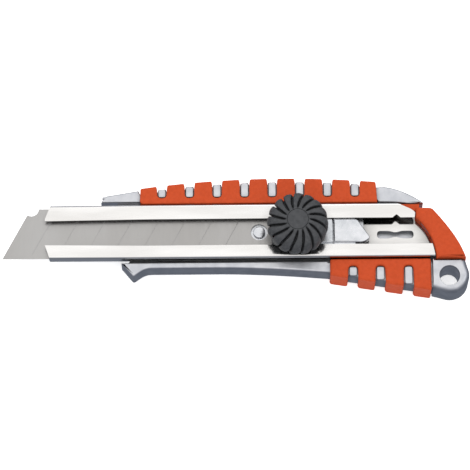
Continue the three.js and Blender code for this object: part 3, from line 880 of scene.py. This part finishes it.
SEGMENT = 10.0  # from one score line to the next
SEGMENTS = 9
SCORE_LEAN = 0.54  # x run of a score line for each unit of height
SCORE_WIDTH, SCORE_DEPTH = 0.3, 0.04
GRIND_HEIGHT = 1.4  # of the ground band along the edge
EDGE_LAND = 0.02  # half of the edge's own thickness
BITE_X, BITE_RADIUS, BITE_END = 10.6, 2.7, -123.2  # middle, radius and last angle of the bite
BLADE_HOLE = (95.3, 0, 3.1)  # x, y and radius
WHEEL_X = 109.4
STUD_HOLE = 2.47  # radius
WING_FACE = 12.0  # z of the wings' tops, under the rails
GUIDE_LOW, GUIDE_HIGH = -4.8, 4.1  # y of what slides between the rails
PAD_RIVETS = (125.4, 130)


def score_line(number, low_edge, top_edge, face):
    """The shallow groove to be cut across the blade after one of its segments."""
    groove = bmesh.new()
    ends = []
    for y in (low_edge - 0.1, top_edge + 0.1):
        x = number * SEGMENT + SCORE_LEAN * (y - low_edge)
        corners = (
            (x - SCORE_WIDTH, face + 0.2),
            (x + 2 * SCORE_WIDTH, face + 0.2),
            (x + SCORE_WIDTH / 2, face - SCORE_DEPTH),
        )
        ends.append([groove.verts.new((cx, y, cz)) for cx, cz in corners])
    for a in range(3):
        b = (a + 1) % 3
        groove.faces.new((ends[0][a], ends[0][b], ends[1][b], ends[1][a]))
    groove.faces.new(ends[0])
    groove.faces.new(ends[1])
    bmesh.ops.recalc_face_normals(groove, faces=groove.faces)
    return groove


def snap_off_blade():
    """The blade, ground to an edge below, with a bite out of its first corner."""
    _, length, low_edge, top_edge, back, face = span("snap_off_blade")
    outline = [(0, low_edge), (length, low_edge), (length, top_edge)]
    outline += arc(BITE_X, top_edge, BITE_RADIUS, 0, BITE_END, 24)
    steel = slab([outline, circle_hole(*BLADE_HOLE)], back, face, 0.04, 0.04, 2)
    piece = as_object("snap_off_blade_steel", steel)
    middle = (back + face) / 2
    grind = low_edge + GRIND_HEIGHT
    past = low_edge - 0.2
    above = [(past, middle + EDGE_LAND), (grind, face), (grind, face + CUT), (past, face + CUT)]
    below = [(past, middle - EDGE_LAND), (past, back - CUT), (grind, back - CUT), (grind, back)]
    cutters = [along_x(ground, (-CUT, length + CUT)) for ground in (above, below)]
    cutters += [score_line(number, low_edge, top_edge, face) for number in range(1, SEGMENTS)]
    combine(piece, "DIFFERENCE", *cutters)
    dress(piece, "snap_off_blade", "slider", 20)


def blade_pin():
    """The peg that holds the blade by its hole, with a low dome on its head."""
    x0, x1, y0, y1, back, top = span("blade_pin")
    x, y, radius = (x0 + x1) / 2, (y0 + y1) / 2, (x1 - x0) / 2
    shank, under, rise, steps = 1.4, back + 1, 0.35, 8
    profile = [(0, back), (shank, back), (shank, under), (radius - 0.1, under), (radius, under + 0.1)]
    for i in range(steps):
        angle = math.pi / 2 * i / steps
        profile.append((radius * math.cos(angle), top - rise + rise * math.sin(angle)))
    profile.append((0, top))
    dress(as_object("blade_pin_head", turned(x, y, profile, 48)), "blade_pin", "slider")


def carrier_block():
    """The slider's front block: wings under the rails and a guide between them."""
    x0, x1, y0, y1, low, high = span("carrier_block")
    stud = circle_hole(WHEEL_X, 0, STUD_HOLE)
    wings = rounded([(x0, y0, 0.5), (x1, y0, 0.2), (x1, y1, 0.2), (x0, y1, 0.5)])
    guide = rounded(
        [
            (x0, GUIDE_LOW, 0.5),
            (x1, GUIDE_LOW, 0.2),
            (x1, GUIDE_HIGH, 0.2),
            (x0, GUIDE_HIGH, 0.5),
        ]
    )
    piece = as_object("carrier_block_body", slab([wings, stud], low, WING_FACE, 0.2, 0.1))
    combine(piece, "UNION", slab([guide, stud], WING_FACE - CUT, high, 0.22, 0))
    dress(piece, "carrier_block", "slider")


def slider_pad():
    """The slider's rear block, with a slanted tail and blind holes for its rivets."""
    x0, _, y0, y1, low, high = span("slider_pad")
    wings = rounded([(x0, y0, 0.3), (131, y0, 1), (131, y1, 1), (x0, y1, 0.3)])
    tail = [(134.2, GUIDE_LOW, 1.5), (136.5, -3.1, 0.9), (131.7, GUIDE_HIGH, 0.7)]
    pad = rounded([(x0, GUIDE_LOW, 0.3), *tail, (x0, GUIDE_HIGH, 0.3)], 8)
    piece = as_object("slider_pad_body", slab([wings], low, WING_FACE, 0.2, 0.1))
    combine(piece, "UNION", slab([pad], low, high, 0.45, 0.1, 6))
    bore = [(0, 9), (1.5, 9), (1.5, 11.9), (0, 11.9)]
    combine(piece, "DIFFERENCE", *(turned(x, 0, bore, 32) for x in PAD_RIVETS))
    dress(piece, "slider_pad", "slider")


# ---------------------------------------------------------------- the wheel

LOBES = 16
LOBE_STEPS = 32
RIM = 11.3
SHOULDER_Z = 21.4  # where the rim turns over into the top
FLAT_RADIUS = 4.2  # the slits start at its edge
SLIT_DEPTH, SLIT_HALF = 1.3, 0.42  # depth and half width of a slit
CROWN = 0.28  # how far a rib's sides fall below its middle
TOP_LEAN, FLANK_LEAN = 0.25, 0.12  # radians by which a slit leans over the top and down the flank
FLANK_HEIGHT = 4.4


def wheel_profile(low, top):
    """The wheel's (radius, z) profile, and the first and last of its points that carry the slits."""
    foot = [(6.5, low), (6.6, low + 0.1), (6.6, 16.9), (6.7, 17.0)]
    ribbed = [(10.3, 17.0), (10.9, 17.25), (11.2, 17.8), (RIM, 18.6), (RIM, 19.6), (RIM, 20.6)]
    ribbed += bend((RIM, SHOULDER_Z), (RIM - 0.1, 24.6), (8.2, 25.5), 14)
    ribbed += [(7.4, 25.76), (6.6, 25.93), (5.8, 26.04), (5.1, 26.1), (4.6, 26.13), (FLAT_RADIUS, 26.15)]
    inner = [(4.0, top - 0.04), (3.95, top - 0.15), (3.95, 25), (3.7, 25), (3.7, 20.4)]
    inner += [(3.9, 20.4), (3.9, low)]
    return foot + ribbed + inner, len(foot), len(foot) + len(ribbed) - 1


def slit_depth(radius, phase):
    """How far the ribbed skin lies below its profile, phase 0 being the middle of a slit."""
    off_middle = min(phase, 1 - phase) * 2 * math.pi * radius / LOBES
    half = SLIT_HALF * min(1.0, 0.45 + (radius - FLAT_RADIUS) / 4)
    slit = SLIT_DEPTH * math.exp(-((off_middle / half) ** 4))
    crown = CROWN * (1 + math.cos(2 * math.pi * phase)) / 2
    return (slit + crown) * min(1.0, max(0.0, (radius - FLAT_RADIUS) / 1.2))


def lock_wheel():
    """The fluted wheel: a turned body whose skin is sunk into leaning slits."""
    x0, x1, y0, y1, low, top = span("lock_wheel")
    x, y = (x0 + x1) / 2, (y0 + y1) / 2
    profile, first, last = wheel_profile(low, top)
    columns = LOBES * LOBE_STEPS
    mesh = turned(x, y, profile, columns)
    mesh.verts.ensure_lookup_table()
    for point in range(first, last + 1):
        radius, z = profile[point]
        (r0, z0), (r1, z1) = profile[point - 1], profile[point + 1]
        outward = Vector((z1 - z0, r0 - r1)).normalized()
        lean = TOP_LEAN * (radius - FLAT_RADIUS) / (RIM - FLAT_RADIUS)
        lean += FLANK_LEAN * max(0.0, SHOULDER_Z - z) / FLANK_HEIGHT
        for column in range(columns):
            sunk = slit_depth(radius, (column % LOBE_STEPS) / LOBE_STEPS)
            angle = 2 * math.pi * column / columns - lean
            reach = radius - outward.x * sunk
            vert = mesh.verts[column * len(profile) + point]
            vert.co = (x + reach * math.cos(angle), y + reach * math.sin(angle), z - outward.y * sunk)
    dress(as_object("lock_wheel_knob", mesh), "lock_wheel", "wheel", 50)


def wheel_cap():
    """The flat disc in the middle of the wheel."""
    x0, x1, y0, y1, low, top = span("wheel_cap")
    radius, edge = (x1 - x0) / 2, 0.22
    disc = [(0, low), (radius - 0.1, low), (radius, low + 0.1), (radius, top - edge)]
    disc += [(radius - edge + edge * math.cos(a), top - edge + edge * math.sin(a)) for a in (0.4, 0.8, 1.2)]
    disc += [(radius - 0.25, top), (radius * 0.5, top), (0, top)]
    shape = turned((x0 + x1) / 2, (y0 + y1) / 2, disc, 96)
    dress(as_object("wheel_cap_disc", shape), "wheel_cap", "wheel")


# ---------------------------------------------------------------- the end cap


def cap_rounding(x, y):
    """Share of the cap's rounding: wide beside the sheath, narrow elsewhere."""
    beside_sheath = x < 161 - (y - CAP_LOW) * 0.3 and CAP_LOW + 0.1 < y < 7.5
    return 2.0 if beside_sheath else 0.6


def end_cap():
    """The cap's rubber, with the tongue under the spine's tip, hollow for its insert."""
    _, _, _, _, _, high = span("end_cap_grip")
    outer = bend((171.7, CAP_LOW), (169.4, -3.1), (159.9, 7.9), 24)
    head = [(158.9, CAP_HIGH, 0.9), (153.6, CAP_HIGH)]
    outline = rounded([*outer, *head, *reversed(cap_inner())])
    piece = as_object("end_cap_rubber", slab([outline], CAP_BACK, high, 1.3, 0.8, 8, cap_rounding))
    lower_side = [(147.4, 10.3, 0.2), (149.6, 9.5), (152.4, 8.2), (155, 7.8)]
    tongue = rounded([*lower_side, (155, 10.7), (147.4, 10.7, 0.2)])
    combine(piece, "UNION", slab([tongue], 8, 10, 0.15, 0.15))
    plug = [
        (154.4 - GAP, 4.2 + GAP),
        (158.6 - GAP, -1.8),
        (161 - GAP, -8.6 - GAP),
        (163.6 + GAP, -8.6 - GAP),
        (160.4 + GAP, 4.2 + GAP),
    ]
    core = [
        (158.6 - GAP, 5 + GAP),
        (161.6 - GAP, -2),
        (163.4 - GAP, -9.4 - GAP),
        (168.8 + GAP, -9.4 - GAP),
        (166 + GAP, -2.6),
        (161.4 + GAP, 4.4 + GAP),
    ]
    combine(piece, "DIFFERENCE", slab([plug], 9 - GAP, 12 + GAP), slab([core], 3 - GAP, 11.4 + GAP))
    dress(piece, "end_cap_grip", "end_cap")


frame_casting()
upper_grip()
lower_grip()
blade_sheath()
snap_off_blade()
blade_pin()
carrier_block()
slider_pad()
lock_wheel()
wheel_cap()
end_cap()

# The plain turned and pressed pieces keep their CAD meshes and get their materials.
for node, thing in frame["nodes"].items():
    if thing.hide_render:
        continue
    thing.data.materials.clear()
    thing.data.materials.append(MATERIALS[SLOT_OF[node]])
